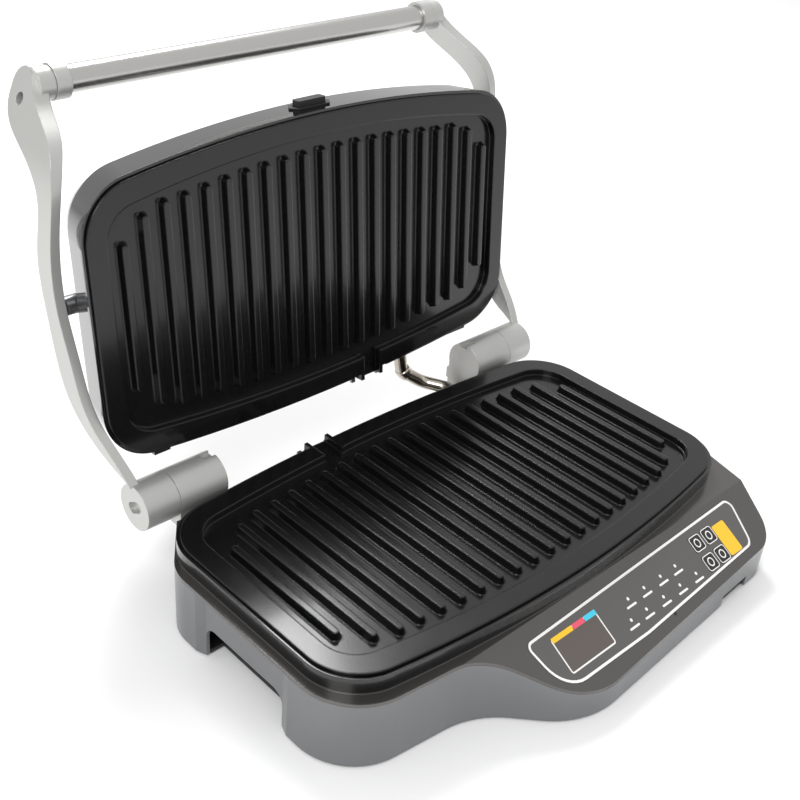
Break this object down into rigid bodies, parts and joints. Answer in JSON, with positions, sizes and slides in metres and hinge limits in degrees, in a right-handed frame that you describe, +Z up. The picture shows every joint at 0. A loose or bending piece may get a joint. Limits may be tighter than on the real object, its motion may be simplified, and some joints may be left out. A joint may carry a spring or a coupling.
{
  "type": "electric grill",
  "caption": "Open electric contact grill with two ribbed non-stick plates, silver swept arms, tube handle and a sloping touch panel",
  "frame": {"origin": "On the floor, under the middle of the open grill's bounding box.", "axes": "+Z up, -Y is the front with the control panel, +X is the right-hand side seen from the front."},
  "size_m": [0.3444, 0.3563, 0.281],
  "materials": {
    "plate_coating": "cast aluminium with a black non-stick coating, soft sheen",
    "gloss_black": "moulded black, polished",
    "skirt_paint": "satin metallic grey paint",
    "matte_black": "moulded black, fine texture",
    "silver_cast": "satin silver paint on die-cast metal",
    "tube_steel": "brushed along the tube",
    "spring_steel": "plain steel",
    "element_steel": "heat-darkened sheath",
    "bright_sheet": "bright rolled sheet",
    "conduit_steel": "bright drawn conduit",
    "panel_film": "printed film, glossy",
    "display_glass": "smoked window",
    "yellow_pad": "printed yellow film",
    "board_green": "glass-fibre circuit board",
    "foot_rubber": "soft black rubber"
  },
  "bodies": {
    "base": {"lower_plate": "plate_coating", "lower_plate_prongs": "spring_steel", "base_skirt": "skirt_paint", "base_top_cover": "gloss_black", "bottom_cover": "matte_black", "rubber_feet": "foot_rubber", "base_screws": "spring_steel", "power_inlet": "matte_black", "control_film": "panel_film", "display_window": "display_glass", "start_pad": "yellow_pad", "touch_keys": "panel_film", "control_board": "board_green", "display_module": "matte_black", "hinge_bracket_left": "silver_cast", "hinge_bracket_right": "silver_cast", "hinge_pins": "spring_steel", "wiring_conduit": "conduit_steel", "conduit_gland": "spring_steel", "lower_heating_element": "element_steel", "lower_reflector": "bright_sheet", "lower_element_clips": "bright_sheet"},
    "handle_arms": {"left_arm": "silver_cast", "right_arm": "silver_cast", "arm_screws": "spring_steel", "handle_tube": "tube_steel", "handle_collars": "silver_cast"},
    "lid": {"upper_plate": "plate_coating", "upper_plate_prongs": "spring_steel", "lid_shell": "gloss_black", "lid_inner_frame": "matte_black", "lid_pivot_pins": "spring_steel", "latch_guides": "matte_black", "button_bezel": "matte_black", "upper_heating_element": "element_steel", "upper_reflector": "bright_sheet", "upper_element_clips": "bright_sheet"},
    "release_button": {"plate_release_button": "matte_black"}
  },
  "joints": [
    {"name": "arms_hinge", "type": "hinge", "parent": "base", "child": "handle_arms", "pos_m": [0, 0.06484, 0.0565], "axis": [1, 0, 0], "range_deg": [0, 103.96], "deforming": ["wiring_conduit"]},
    {"name": "lid_float", "type": "hinge", "parent": "handle_arms", "child": "lid", "pos_m": [0, 0.12435, 0.16038], "axis": [1, 0, 0], "range_deg": [-8.6, 0]},
    {"name": "button_press", "type": "slide", "parent": "lid", "child": "release_button", "axis": [0, -0.0964, -0.9953], "range_m": [0, 0.0025], "stiffness_N_per_m": 400}
  ],
  "couplings": [
    {"joint": "lid_float", "follows": "arms_hinge", "ratio": -0.08109}
  ]
}
